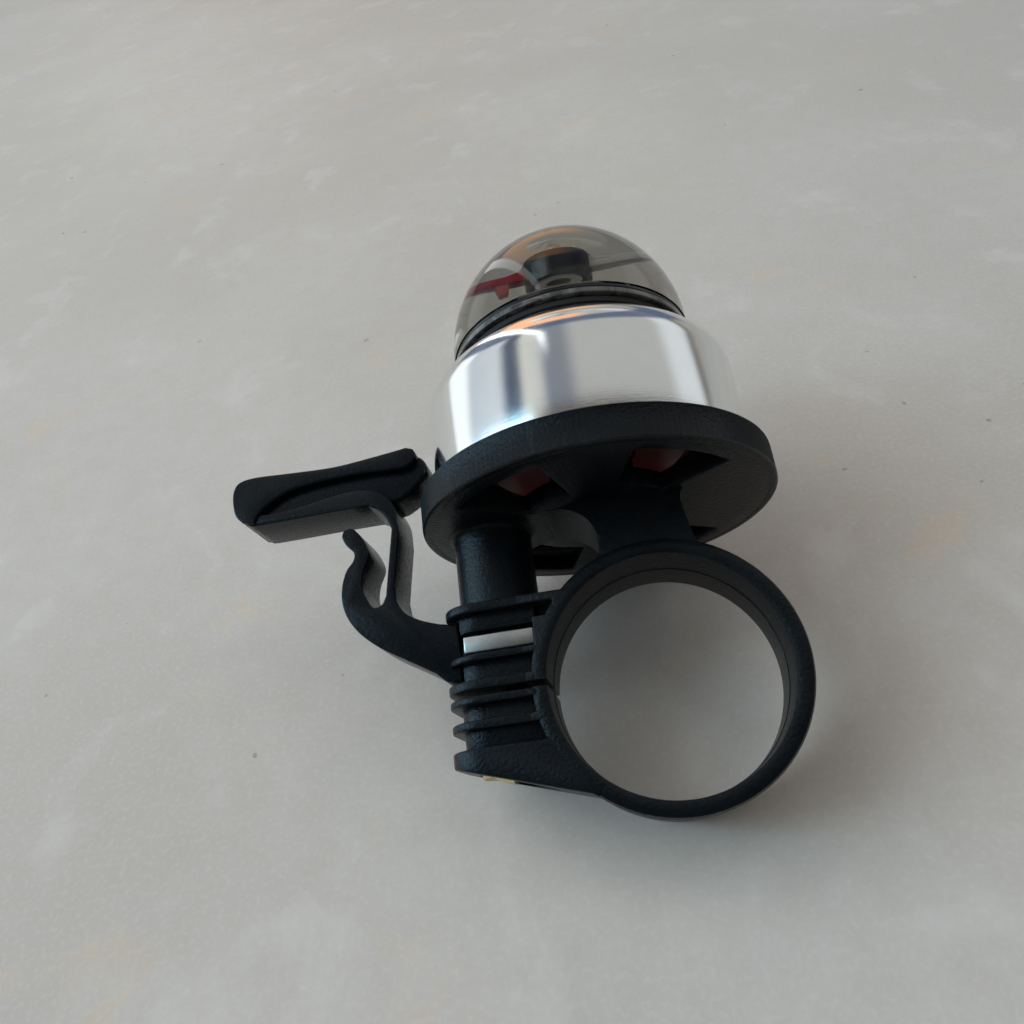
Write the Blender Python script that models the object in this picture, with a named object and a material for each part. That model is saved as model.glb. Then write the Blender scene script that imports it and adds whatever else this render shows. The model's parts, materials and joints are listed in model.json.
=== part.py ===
"""Compass bicycle bell for a 22.2 mm handlebar.

The frame is the bell as it is mounted: +Z up along the bell's axis, Y along the
handlebar, +X away from the thumb lever. The origin is the centre of the clamp bore.
Every length below is in millimetres and becomes metres when a mesh is made.
"""
import math

import bmesh
import bpy
from mathutils import Matrix, Vector

MM = 0.001
GAP = 0.3  # running gap between neighbouring pieces

# Handlebar clamp
BORE_R = 11.1
BAND_WALL = 1.6
BAND_R = BORE_R + BAND_WALL
BAND_HALF = 5.25
BAND_CHAMFER = 0.4
SPLIT_LOW = 0.3
SPLIT_HIGH = 0.9

# Base plate and the posts under it
BELL_X = -4.0
PLATE_LOW = 17.4
PLATE_TOP = 19.4
RIM_TOP = 20.9
RIM_R = 18.3
RIM_INNER_R = 17.1
BOSS_R = 4.5
BOSS_TOP = 27.0
OPENING_INNER_R = 8.4
OPENING_OUTER_R = 15.7
OPENING_ANGLES = (55.0, 125.0, 235.0, 305.0)
OPENING_SPREAD = 38.0
NECK_LEFT = -9.0
NECK_RIGHT = 4.4
WINDOW_X = -8.3
WINDOW_Z = 13.4
WINDOW_R = 4.0

# Ears that the clamp screw pulls together
SCREW_X = -15.4
COLUMN_R = 4.05
EAR_LEFT = -20.7
EAR_LOWER_LEFT = -21.0
CORE_INSET = 0.7
CORE_HALF = 4.3
CORE_SHIFT = 0.42
EAR_TOP = 9.2
EAR_SOLID_TOP = -4.4
RIBS = ((EAR_LEFT, 8.3, EAR_TOP), (EAR_LEFT, 3.6, 4.25), (EAR_LOWER_LEFT, SPLIT_HIGH - 0.1, 1.8),
        (EAR_LOWER_LEFT, -0.4, SPLIT_LOW + 0.1), (EAR_LOWER_LEFT, -2.7, -1.9))
RIB_CORNER = 3.4
EAR_RIGHT = -9.0  # hidden inside the band's wall
EAR_BLOCK_LEFT = -11.9
EAR_CORNER = (-9.6, 6.9)
UNDERSIDE_LEFT = (-21.5, -5.75)
UNDERSIDE_RIGHT = (-8.4, -9.62)
SCREW_HOLE_R = 2.25
COUNTERBORE_R = 3.9
COUNTERBORE_TOP = -4.6

# Nut, clamp screw and washer
NUT_SIDE = 7.0
NUT_LOW = 4.7
NUT_HIGH = 6.4
NUT_HOLE_R = 2.2
THREAD_R = 1.9
HEAD_R = 3.5
HEAD_LOW = -7.6
HEAD_HIGH = -5.7
SCREW_TIP = 9.0
WASHER_LOW = -5.4
WASHER_HIGH = -4.9

# Bell cup and what holds it
CUP_R = 16.5
CUP_LOW = 20.1
CUP_TOP = 34.6
CUP_WALL = 0.9
CUP_SHOULDER = 4.4
CENTRE_HOLE_R = 2.0
BUSH_FLANGE_R = 10.6
BUSH_FLANGE_LOW = 24.3
BUSH_FLANGE_TOP = 25.8
BUSH_HUB_R = 5.7
PIN_R = 1.5

# Compass
HOUSING_R = 11.6
FLANGE_R = 12.7
HOUSING_LOW = CUP_TOP + GAP
HOUSING_TOP = 37.5
HUB_R = 4.2
HUB_TOP = 39.6
DOME_R = 13.2
DOME_WALL = 1.2
DOME_LOW = 36.3
DOME_SKIRT_TOP = 38.2
DOME_TOP = 52.0
NEEDLE_Z = 44.6
NEEDLE_REACH = 9.6
NEEDLE_HALF = 0.6
FLOAT_R = 2.5

# Thumb lever
LEVER_HALF = 3.0
PAD_HALF = 3.3
LEAF_HALF = 0.42
PIVOT_X = -25.62
PIVOT_Z = 15.3
LEAF_LEAN = 0.147  # sideways per unit of height
SEAT_RIGHT = -19.15
SEAT_LOW = 1.95
SEAT_HIGH = 8.15
LEAF_GAP_HALF = 0.2
PAD_RECESS = 1.2

BLACK = (0.012, 0.013, 0.015)


# ---------------------------------------------------------------- helpers
def finish(name, colour, roughness, metallic=0.0, transmission=0.0):
    """A plain Principled material."""
    material = bpy.data.materials.new(name)
    material.use_nodes = True
    shader = material.node_tree.nodes["Principled BSDF"]
    shader.inputs["Base Color"].default_value = (*colour, 1.0)
    shader.inputs["Roughness"].default_value = roughness
    shader.inputs["Metallic"].default_value = metallic
    shader.inputs["Transmission Weight"].default_value = transmission
    return material


def add_object(name, bm, material=None, origin=(0.0, 0.0, 0.0)):
    """Turn a bmesh in millimetres into an object in metres with the given origin."""
    bmesh.ops.translate(bm, verts=bm.verts, vec=-Vector(origin))
    bmesh.ops.scale(bm, verts=bm.verts, vec=(MM, MM, MM))
    bmesh.ops.recalc_face_normals(bm, faces=bm.faces)
    mesh = bpy.data.meshes.new(name)
    bm.to_mesh(mesh)
    bm.free()
    mesh.shade_smooth()
    mesh.set_sharp_from_angle(angle=math.radians(35))
    item = bpy.data.objects.new(name, mesh)
    item.location = Vector(origin) * MM
    if material:
        mesh.materials.append(material)
    bpy.context.scene.collection.objects.link(item)
    return item


def tool(name, bm):
    """A shape that only cuts or is joined to another piece."""
    item = add_object(name, bm)
    item.hide_render = True
    item.display_type = "WIRE"
    return item


def combine(target, other, operation):
    modifier = target.modifiers.new(operation.lower(), "BOOLEAN")
    modifier.operation = operation
    modifier.solver = "EXACT"
    modifier.object = other


def cut(target, *others):
    for other in others:
        combine(target, other, "DIFFERENCE")


def join(target, *others):
    for other in others:
        combine(target, other, "UNION")


def turned(profile, centre_x=0.0, steps=64, along_y=False):
    """Spin a closed (radius, height) outline about a vertical axis, or about Y."""
    bm = bmesh.new()
    ring = [bm.verts.new((radius, 0.0, height)) for radius, height in profile]
    edges = [bm.edges.new((ring[i - 1], ring[i])) for i in range(len(ring))]
    bmesh.ops.spin(bm, geom=ring + edges, cent=(0, 0, 0), axis=(0, 0, 1), angle=math.tau,
                   steps=steps, use_merge=True)
    bmesh.ops.remove_doubles(bm, verts=bm.verts, dist=0.0005)
    if along_y:
        bmesh.ops.rotate(bm, verts=bm.verts, matrix=Matrix.Rotation(math.radians(90), 3, "X"))
    bmesh.ops.translate(bm, verts=bm.verts, vec=(centre_x, 0, 0))
    return bm


def solid_profile(radius, low, high, chamfer=0.0):
    """Outline of a turned solid cylinder."""
    inner = radius - chamfer
    if not chamfer:
        return [(0, low), (radius, low), (radius, high), (0, high)]
    return [(0, low), (inner, low), (radius, low + chamfer), (radius, high - chamfer),
            (inner, high), (0, high)]


def ring_profile(inner, outer, low, high):
    return [(inner, low), (outer, low), (outer, high), (inner, high)]


def prism(outline, low, high, along_y=False):
    """Extrude an (x, y) outline up in Z, or an (x, z) outline through Y."""
    bm = bmesh.new()
    if along_y:
        corners = [bm.verts.new((x, low, z)) for x, z in outline]
        reach = (0, high - low, 0)
    else:
        corners = [bm.verts.new((x, y, low)) for x, y in outline]
        reach = (0, 0, high - low)
    face = bm.faces.new(corners)
    grown = bmesh.ops.extrude_face_region(bm, geom=[face])
    moved = [item for item in grown["geom"] if isinstance(item, bmesh.types.BMVert)]
    bmesh.ops.translate(bm, verts=moved, vec=reach)
    return bm


def box(x_low, x_high, y_low, y_high, z_low, z_high):
    return prism([(x_low, y_low), (x_high, y_low), (x_high, y_high), (x_low, y_high)], z_low, z_high)


def arc(centre, radius, start, end, steps):
    """Points of an arc from start to end, in degrees."""
    points = []
    for i in range(steps + 1):
        angle = math.radians(start + (end - start) * i / steps)
        points.append((centre[0] + radius * math.cos(angle), centre[1] + radius * math.sin(angle)))
    return points


def rounded_plan(left, right, half, corner):
    """Plan outline with two round corners at its left end."""
    points = [(right, -half), (right, half)]
    points += arc((left + corner, half - corner), corner, 90, 180, 6)
    points += arc((left + corner, corner - half), corner, 180, 270, 6)
    return points


def smooth_outline(points, steps=3):
    """Closed curve through hand-placed points (Catmull-Rom)."""
    count = len(points)
    outline = []
    for i in range(count):
        before, here, there, after = (Vector(points[(i + k) % count]) for k in (-1, 0, 1, 2))
        for step in range(steps):
            t = step / steps
            point = 0.5 * (2 * here + (there - before) * t
                           + (2 * before - 5 * here + 4 * there - after) * t ** 2
                           + (3 * here - before - 3 * there + after) * t ** 3)
            outline.append((point.x, point.y))
    return outline


# ---------------------------------------------------------------- clamp and base
def opening_cutter(angle):
    """One curved opening through the base plate."""
    start, end = angle - OPENING_SPREAD / 2, angle + OPENING_SPREAD / 2
    outline = arc((BELL_X, 0), OPENING_OUTER_R, start, end, 8)
    outline += arc((BELL_X, 0), OPENING_INNER_R, end, start, 6)
    return tool("opening_cutter", prism(outline, PLATE_LOW - 1, PLATE_TOP + 1))


def window_cutter():
    """The D-shaped window between the column and the neck."""
    left = SCREW_X
    outline = arc((WINDOW_X, WINDOW_Z), WINDOW_R, -90, 90, 14)
    outline += [(left, WINDOW_Z + WINDOW_R), (left, WINDOW_Z - WINDOW_R)]
    return tool("window_cutter", prism(outline, -BAND_HALF - 1, BAND_HALF + 1, along_y=True))


def ear_outline():
    """Side view of the solid part of both ears, down to the slanted underside."""
    corner_x, corner_z = EAR_CORNER
    top, shelf = EAR_TOP - 0.1, EAR_SOLID_TOP + 0.1
    return [(-7.0, top), (corner_x, top), (corner_x, corner_z), (EAR_BLOCK_LEFT, corner_z),
            (EAR_BLOCK_LEFT, shelf), (-20.0, shelf), (-20.0, -6.0), (-8.4, -9.5), (-5.0, -11.2), (-5.0, 0.0)]


def underside_cutter():
    """Everything below the slanted underside of the lower ear."""
    depth = -16.0
    outline = [UNDERSIDE_LEFT, UNDERSIDE_RIGHT, (UNDERSIDE_RIGHT[0], depth), (UNDERSIDE_LEFT[0], depth)]
    return tool("underside_cutter", prism(outline, -BAND_HALF - 1, BAND_HALF + 1, along_y=True))


def clamp_base(material):
    """Base plate, neck, split clamp and ears, moulded in one piece."""
    chamfer = 0.35
    plate = turned([(0, PLATE_LOW), (RIM_R - chamfer, PLATE_LOW), (RIM_R, PLATE_LOW + chamfer),
                    (RIM_R, RIM_TOP - chamfer), (RIM_R - chamfer, RIM_TOP), (RIM_INNER_R, RIM_TOP),
                    (RIM_INNER_R, PLATE_TOP), (BOSS_R, PLATE_TOP), (BOSS_R, BOSS_TOP), (0, BOSS_TOP)],
                   BELL_X, steps=64)
    base = add_object("clamp_base", plate, material)
    cut(base, *[opening_cutter(angle) for angle in OPENING_ANGLES])

    inner = BORE_R - 1.5
    band = turned([(inner, -BAND_HALF), (BAND_R - BAND_CHAMFER, -BAND_HALF),
                   (BAND_R, BAND_CHAMFER - BAND_HALF), (BAND_R, BAND_HALF - BAND_CHAMFER),
                   (BAND_R - BAND_CHAMFER, BAND_HALF), (inner, BAND_HALF)], steps=64, along_y=True)
    neck_half = BAND_HALF - 0.45
    neck = box(NECK_LEFT, NECK_RIGHT, -neck_half, neck_half, 9.0, PLATE_LOW + 0.6)
    shelf = box(-11.0, NECK_LEFT + 0.1, -neck_half, neck_half, 6.0, EAR_TOP - 0.2)
    join(base, tool("neck_tool", neck), tool("shelf_tool", shelf))
    cut(base, window_cutter())
    join(base, tool("band_tool", band))

    ears = prism(ear_outline(), -BAND_HALF + 0.02, BAND_HALF - 0.02, along_y=True)
    join(base, tool("ear_tool", ears))
    for left, low, high in RIBS:
        plan = rounded_plan(left, EAR_RIGHT, BAND_HALF - 0.05, RIB_CORNER)
        join(base, tool("rib_tool", prism(plan, low, high)))
    foot = rounded_plan(EAR_LOWER_LEFT - 0.1, EAR_RIGHT, BAND_HALF - 0.08, RIB_CORNER)
    join(base, tool("lower_ear_tool", prism(foot, -10.0, EAR_SOLID_TOP)))
    plan = rounded_plan(EAR_LEFT + CORE_INSET, EAR_RIGHT, CORE_HALF, RIB_CORNER - CORE_INSET)
    plan = [(x, y + CORE_SHIFT) for x, y in plan]
    core = prism(plan, EAR_SOLID_TOP - 0.2, EAR_TOP - 0.3)
    column = turned(solid_profile(COLUMN_R, EAR_TOP - 0.6, PLATE_LOW + 0.5), SCREW_X, 40)
    join(base, tool("core_tool", core), tool("column_tool", column))

    cut(base, underside_cutter())
    bore_edge = BAND_HALF + 1.0
    bore = turned(solid_profile(BORE_R, -bore_edge, bore_edge), 0, 72, along_y=True)
    cut(base, tool("bore_cutter", bore))
    split = box(EAR_LEFT - 2, EAR_RIGHT, -bore_edge, bore_edge, SPLIT_LOW, SPLIT_HIGH)
    cut(base, tool("split_cutter", split))
    screw_hole = turned(solid_profile(SCREW_HOLE_R, -12, 10.0), SCREW_X, 28)
    counterbore = turned(solid_profile(COUNTERBORE_R, -12, COUNTERBORE_TOP), SCREW_X, 36)
    cut(base, tool("screw_hole_cutter", screw_hole), tool("counterbore_cutter", counterbore))
    pocket = NUT_SIDE / 2 + 0.15
    slot = box(EAR_LEFT - 2, SCREW_X + pocket, -BAND_HALF - 1, pocket, NUT_LOW - GAP, NUT_HIGH + GAP)
    seat_half = LEVER_HALF + GAP
    lever_seat = box(EAR_LEFT - 2, SEAT_RIGHT, -seat_half, seat_half, SEAT_LOW, SEAT_HIGH)
    centre_hole = turned(solid_profile(PIN_R + GAP, 20.6, BOSS_TOP + 1), BELL_X, 24)
    cut(base, tool("nut_slot_cutter", slot), tool("lever_seat_cutter", lever_seat),
        tool("centre_hole_cutter", centre_hole))
    return base


def clamp_fasteners(zinc, steel):
    """Square nut in its slot, and the screw and washer that go up into it."""
    half = NUT_SIDE / 2
    block = box(SCREW_X - half, SCREW_X + half, -half, half, NUT_LOW, NUT_HIGH)
    nut = add_object("clamp_nut", block, steel)
    hole = turned(solid_profile(NUT_HOLE_R, NUT_LOW - 1, NUT_HIGH + 1), SCREW_X, 24)
    cut(nut, tool("nut_hole_cutter", hole))

    washer = ring_profile(NUT_HOLE_R, 3.55, WASHER_LOW, WASHER_HIGH)
    add_object("clamp_washer", turned(washer, SCREW_X, 32), steel)

    profile = [(0, HEAD_LOW), (HEAD_R - 0.7, HEAD_LOW), (HEAD_R, HEAD_LOW + 0.7), (HEAD_R, HEAD_HIGH),
               (THREAD_R, HEAD_HIGH), (THREAD_R, SCREW_TIP - 0.4), (THREAD_R - 0.4, SCREW_TIP),
               (0, SCREW_TIP)]
    pivot = (SCREW_X, 0, HEAD_LOW)
    screw = add_object("clamp_screw", turned(profile, SCREW_X, 32), zinc, pivot)
    recess = (HEAD_LOW - 1, HEAD_LOW + 1.1)
    for name, x_half, y_half in (("recess_long_cutter", 2.1, 0.45), ("recess_cross_cutter", 0.45, 2.1)):
        cut(screw, tool(name, box(SCREW_X - x_half, SCREW_X + x_half, -y_half, y_half, *recess)))


# ---------------------------------------------------------------- bell
def bell_cup(material):
    """Thin turned cup with a round shoulder and a hole in its crown."""
    corner = (CUP_R - CUP_SHOULDER, CUP_TOP - CUP_SHOULDER)
    outside = [(CUP_R - 0.35, CUP_LOW), (CUP_R, CUP_LOW + 0.35)] + arc(corner, CUP_SHOULDER, 0, 90, 7)
    inner = CUP_SHOULDER - CUP_WALL
    inside = [(CENTRE_HOLE_R, CUP_TOP), (CENTRE_HOLE_R, CUP_TOP - CUP_WALL)]
    inside += arc(corner, inner, 90, 0, 5) + [(CUP_R - CUP_WALL, CUP_LOW)]
    return add_object("bell_cup", turned(outside + inside, BELL_X, 48), material)


def cup_mounting(red, fibre, steel):
    """Flanged bush under the crown, washers above it, and the screw through them all."""
    low, hole, sleeve = BOSS_TOP + GAP, PIN_R + GAP, BOSS_R + GAP
    crown = CUP_TOP - CUP_WALL
    bush = [(hole, low), (sleeve, low), (sleeve, BUSH_FLANGE_LOW), (BUSH_FLANGE_R, BUSH_FLANGE_LOW),
            (BUSH_FLANGE_R, BUSH_FLANGE_TOP - 0.4), (BUSH_FLANGE_R - 0.4, BUSH_FLANGE_TOP),
            (BUSH_HUB_R + 0.6, BUSH_FLANGE_TOP), (BUSH_HUB_R, BUSH_FLANGE_TOP + 0.6),
            (BUSH_HUB_R, crown - GAP), (hole, crown - GAP)]
    add_object("cup_bush", turned(bush, BELL_X, 40), red)
    washer = CUP_TOP + GAP
    add_object("crown_washer", turned(ring_profile(hole, 5.6, washer, washer + 0.5), BELL_X, 32), fibre)
    spring = washer + 0.5 + GAP
    add_object("spring_washer", turned(ring_profile(hole, 3.2, spring, spring + 0.5), BELL_X, 28), steel)
    seat = spring + 0.5 + GAP
    profile = [(0, 21.2), (PIN_R - 0.4, 21.2), (PIN_R, 21.9), (PIN_R, seat), (2.8, seat), (2.8, seat + 0.9),
               (2.1, seat + 1.5), (0, seat + 1.5)]
    screw = add_object("centre_screw", turned(profile, BELL_X, 28), steel)
    slot = (-0.35, 0.35, seat + 0.8, seat + 3)
    cut(screw, tool("centre_slot_cutter", box(BELL_X - 2.2, BELL_X + 2.2, *slot)))


# ---------------------------------------------------------------- compass
def compass_case(black, clear, rubber, face):
    """Housing over the centre screw, its seal, dome and dial; gives the pivot pin's outline."""
    housing = [(6.4, HOUSING_LOW), (FLANGE_R, HOUSING_LOW), (FLANGE_R, HOUSING_LOW + 0.5),
               (HOUSING_R, HOUSING_LOW + 0.5), (HOUSING_R, HOUSING_TOP - 0.5),
               (HOUSING_R - 0.5, HOUSING_TOP), (HUB_R, HOUSING_TOP), (HUB_R, HUB_TOP), (0, HUB_TOP),
               (0, HUB_TOP - 1), (HUB_R - 0.9, HUB_TOP - 1), (HUB_R - 0.9, HOUSING_TOP - 1),
               (6.4, HOUSING_TOP - 1)]
    add_object("compass_housing", turned(housing, BELL_X, 40), black)
    seal = HOUSING_LOW + 0.5 + GAP
    ring = ring_profile(HOUSING_R + GAP, FLANGE_R, seal, DOME_LOW - GAP)
    add_object("dome_seal", turned(ring, BELL_X, 40), rubber)

    rise = DOME_TOP - DOME_SKIRT_TOP
    outside = [(r * DOME_R, DOME_SKIRT_TOP + z * rise) for r, z in arc((0, 0), 1, 0, 90, 10)]
    inner = DOME_R - DOME_WALL
    inside = [(inner * r, DOME_SKIRT_TOP + z * (rise - DOME_WALL)) for r, z in arc((0, 0), 1, 90, 0, 8)]
    outline = [(DOME_R, DOME_LOW)] + outside[:-1] + [(0, DOME_TOP)] + [(0, DOME_TOP - DOME_WALL)]
    outline += inside[1:] + [(inner, DOME_LOW)]
    add_object("compass_dome", turned(outline, BELL_X, 40), clear)

    low = HOUSING_TOP + GAP
    dial = ring_profile(HUB_R + GAP, 10.6, low, low + 0.6)
    add_object("compass_dial", turned(dial, BELL_X, 40), face)
    low = HUB_TOP + GAP
    return [(0, low), (1.5, low), (1.5, low + 0.9), (0.45, low + 1.2), (0.45, NEEDLE_Z - 1.9),
            (0, NEEDLE_Z - 1.1)]


def compass_movement(pin, steel, red, black, white):
    """Pivot pin, and the needle that turns on it with its magnet, cap and jewel."""
    add_object("pivot_pin", turned(pin, BELL_X, 20), steel)
    centre = (BELL_X, 0, NEEDLE_Z)
    top = NEEDLE_Z + 0.6
    reach = NEEDLE_REACH
    for name, side, material in (("needle_north", -1, red), ("needle_south", 1, white)):
        shank = NEEDLE_HALF * 0.75
        outline = [(side * 1.6, -NEEDLE_HALF), (side * reach * 0.85, -shank), (side * reach, 0),
                   (side * reach * 0.85, shank), (side * 1.6, NEEDLE_HALF)]
        plan = [(BELL_X + x, y) for x, y in outline]
        if side > 0:
            plan.reverse()
        half = add_object(name, prism(plan, NEEDLE_Z, top), material, centre)
        clearance = turned(solid_profile(FLOAT_R + GAP, NEEDLE_Z - 1, top + 1), BELL_X, 28)
        cut(half, tool(name + "_cutter", clearance))
    float_low, cap = NEEDLE_Z - 0.9, NEEDLE_Z + 1.7
    shell = [(2.1, float_low), (FLOAT_R, float_low), (FLOAT_R, NEEDLE_Z + 0.9), (2.3, cap - 0.2),
             (1.7, cap), (1.1, cap), (1.1, cap - 0.8), (1.9, NEEDLE_Z + 0.9), (2.1, NEEDLE_Z + 0.4)]
    add_object("needle_float", turned(shell, BELL_X, 28), black, centre)
    magnet = ring_profile(0.9, 1.8, NEEDLE_Z - 0.7, NEEDLE_Z + 0.5)
    add_object("needle_magnet", turned(magnet, BELL_X, 20), steel, centre)
    jewel_low = NEEDLE_Z + 0.85
    jewel = [(0, jewel_low), (0.8, jewel_low), (0.8, cap + 0.3), (0.5, cap + 0.6), (0, cap + 0.6)]
    add_object("needle_jewel", turned(jewel, BELL_X, 20), steel, centre)


# ---------------------------------------------------------------- lever
def lever_root(material):
    """Arm with its stop finger and the lower half of the spring leaf."""
    gap = LEAF_GAP_HALF
    leaf_x = PIVOT_X - gap * LEAF_LEAN
    finger = [(-28.3, 11.5), (-28.95, 13.2), (-28.75, 15.0), (-28.05, 16.7), (-28.4, 18.1), (-29.0, 19.2),
              (-29.7, 20.0), (-30.5, 20.0), (-30.9, 19.3), (-30.5, 18.3), (-29.7, 17.3), (-29.8, 16.4),
              (-30.6, 15.4), (-31.1, 13.9), (-31.2, 12.2), (-30.7, 10.4), (-29.4, 8.5), (-27.3, 6.7),
              (-24.4, 4.9), (-22.0, 3.4)]
    bend = smooth_outline(finger, 2)[: 2 * (len(finger) - 1) + 1]
    outline = [(leaf_x - LEAF_HALF, PIVOT_Z - gap), (-26.62, 11.9), (-27.1, 11.15), (-27.8, 11.05)]
    outline += bend
    outline += [(-20.9, 2.35), (-19.45, 2.35), (-19.45, 7.85), (-21.4, 8.3), (-23.2, 9.0), (-24.7, 10.0),
                (-25.5, 11.3), (-25.75, 12.4), (leaf_x + LEAF_HALF, PIVOT_Z - gap)]
    return add_object("lever_root", prism(outline, -LEVER_HALF, LEVER_HALF, along_y=True), material)


def pad_outline():
    gap = LEAF_GAP_HALF
    leaf_x = PIVOT_X + gap * LEAF_LEAN
    outline = [(leaf_x + LEAF_HALF, PIVOT_Z + gap), (-24.68, 19.0), (-24.4, 21.2)]
    nose = [(-23.7, 22.9), (-22.4, 23.8), (-21.65, 24.5), (-21.35, 25.4), (-21.55, 26.7), (-22.1, 27.8),
            (-23.2, 28.2), (-27.0, 27.8), (-31.5, 27.5), (-36.5, 27.75), (-40.4, 28.0), (-42.3, 27.7),
            (-43.0, 26.7), (-43.05, 25.2), (-42.7, 23.7), (-41.7, 22.6), (-39.5, 22.3), (-29.2, 22.3)]
    outline += smooth_outline(nose, 2)[: 2 * (len(nose) - 1) + 1]
    outline += [(-27.6, 22.1), (-26.5, 21.3), (-25.85, 19.9), (-25.75, 18.2),
                (leaf_x - LEAF_HALF, PIVOT_Z + gap)]
    return outline


def thumb_lever(material):
    """Thumb pad, striking nose and the upper half of the spring leaf."""
    pivot = (PIVOT_X, 0, PIVOT_Z)
    pad = add_object("thumb_lever", prism(pad_outline(), -PAD_HALF, PAD_HALF, along_y=True), material, pivot)
    hollow = [(-40.9, 23.1), (-27.3, 23.0), (-25.0, 22.9), (-23.4, 25.0), (-24.4, 26.0), (-33.0, 26.1),
              (-36.4, 26.0), (-39.2, 24.9)]
    for name, low, high in (("front", -PAD_HALF - 1, PAD_RECESS - PAD_HALF),
                            ("rear", PAD_HALF - PAD_RECESS, PAD_HALF + 1)):
        cut(pad, tool(f"pad_{name}_cutter", prism(hollow, low, high, along_y=True)))
    leaf_low, leaf_high = PIVOT_Z - 1, 21.5
    for name, low, high in (("front", -PAD_HALF - 1, -LEVER_HALF), ("rear", LEVER_HALF, PAD_HALF + 1)):
        trim = box(-26.4, -24.0, low, high, leaf_low, leaf_high)
        cut(pad, tool(f"leaf_{name}_cutter", trim))
    return pad


def main():
    for item in list(bpy.data.objects):
        bpy.data.objects.remove(item)
    black = finish("black_moulding", BLACK, 0.5)
    lever_black = finish("lever_moulding", BLACK, 0.35)
    aluminium = finish("polished_aluminium", (0.86, 0.86, 0.85), 0.12, metallic=1.0)
    steel = finish("bright_steel", (0.62, 0.61, 0.58), 0.3, metallic=1.0)
    zinc = finish("yellow_zinc", (0.72, 0.58, 0.26), 0.3, metallic=1.0)
    red = finish("red_moulding", (0.55, 0.02, 0.02), 0.4)
    white = finish("white_moulding", (0.8, 0.8, 0.78), 0.4)
    fibre = finish("grey_fibre", (0.2, 0.19, 0.18), 0.8)
    rubber = finish("black_rubber", (0.02, 0.02, 0.02), 0.8)
    clear = finish("clear_acrylic", (0.9, 0.9, 0.88), 0.03, transmission=1.0)

    clamp_base(black)
    clamp_fasteners(zinc, steel)
    bell_cup(aluminium)
    cup_mounting(red, fibre, steel)
    pin = compass_case(black, clear, rubber, white)
    compass_movement(pin, steel, red, black, white)
    lever_root(lever_black)
    thumb_lever(lever_black)


main()
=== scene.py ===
"""The bell's looks: detailed pieces, finishes, floor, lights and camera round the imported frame."""
import json
import math

import bmesh
import bpy
from mathutils import Matrix, Vector


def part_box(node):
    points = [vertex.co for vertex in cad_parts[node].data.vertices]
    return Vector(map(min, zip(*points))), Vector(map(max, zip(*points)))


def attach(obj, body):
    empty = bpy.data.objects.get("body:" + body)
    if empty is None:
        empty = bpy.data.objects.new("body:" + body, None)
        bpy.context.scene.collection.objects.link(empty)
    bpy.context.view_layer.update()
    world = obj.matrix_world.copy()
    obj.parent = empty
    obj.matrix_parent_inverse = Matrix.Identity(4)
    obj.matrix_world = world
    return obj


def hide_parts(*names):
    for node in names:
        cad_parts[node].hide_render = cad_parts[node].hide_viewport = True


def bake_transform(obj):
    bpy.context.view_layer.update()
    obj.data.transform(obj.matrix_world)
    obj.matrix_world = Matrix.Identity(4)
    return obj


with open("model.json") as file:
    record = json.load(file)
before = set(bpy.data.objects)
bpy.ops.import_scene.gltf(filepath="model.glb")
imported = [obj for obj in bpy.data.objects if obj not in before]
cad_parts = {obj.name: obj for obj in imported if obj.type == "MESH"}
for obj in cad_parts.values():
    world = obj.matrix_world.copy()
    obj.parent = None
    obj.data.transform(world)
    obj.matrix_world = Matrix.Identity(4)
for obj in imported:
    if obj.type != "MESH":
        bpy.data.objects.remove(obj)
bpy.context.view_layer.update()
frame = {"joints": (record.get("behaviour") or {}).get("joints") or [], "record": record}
MM = 0.001


def size_of(node):
    """Lowest and highest corner of a node in millimetres."""
    low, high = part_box(node)
    return low / MM, high / MM


# ---------------------------------------------------------------- sizes taken from the frame, in mm
BASE_LOW, BASE_HIGH = size_of("clamp_base")
CUP_LOW, CUP_HIGH = size_of("bell_cup")
DOME_LOW, DOME_HIGH = size_of("compass_dome")
HOUSING_LOW, HOUSING_HIGH = size_of("compass_housing")
DIAL_LOW, DIAL_HIGH = size_of("compass_dial")
NUT_LOW, NUT_HIGH = size_of("clamp_nut")
SCREW_LOW, SCREW_HIGH = size_of("clamp_screw")
BUSH_LOW, BUSH_HIGH = size_of("cup_bush")
FLOAT_LOW, FLOAT_HIGH = size_of("needle_float")
MOUNT = frame["record"]["mounts"][0]["dims"]
PRESS = next(joint for joint in frame["joints"] if joint["name"] == "lever_press")

BELL_X = (CUP_LOW.x + CUP_HIGH.x) / 2
CUP_R = (CUP_HIGH.x - CUP_LOW.x) / 2
DOME_R = (DOME_HIGH.x - DOME_LOW.x) / 2
RIM_R = BASE_HIGH.y
BORE_R = MOUNT["r_mm"]
BAND_HALF = MOUNT["length_mm"] / 2
BAND_R = -BASE_LOW.z
FACE_R = BORE_R + 0.32
SCREW_X = (SCREW_LOW.x + SCREW_HIGH.x) / 2
NEEDLE_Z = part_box("needle_north")[0].z / MM
PIVOT = Vector(PRESS["pos_m"]) / MM

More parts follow.
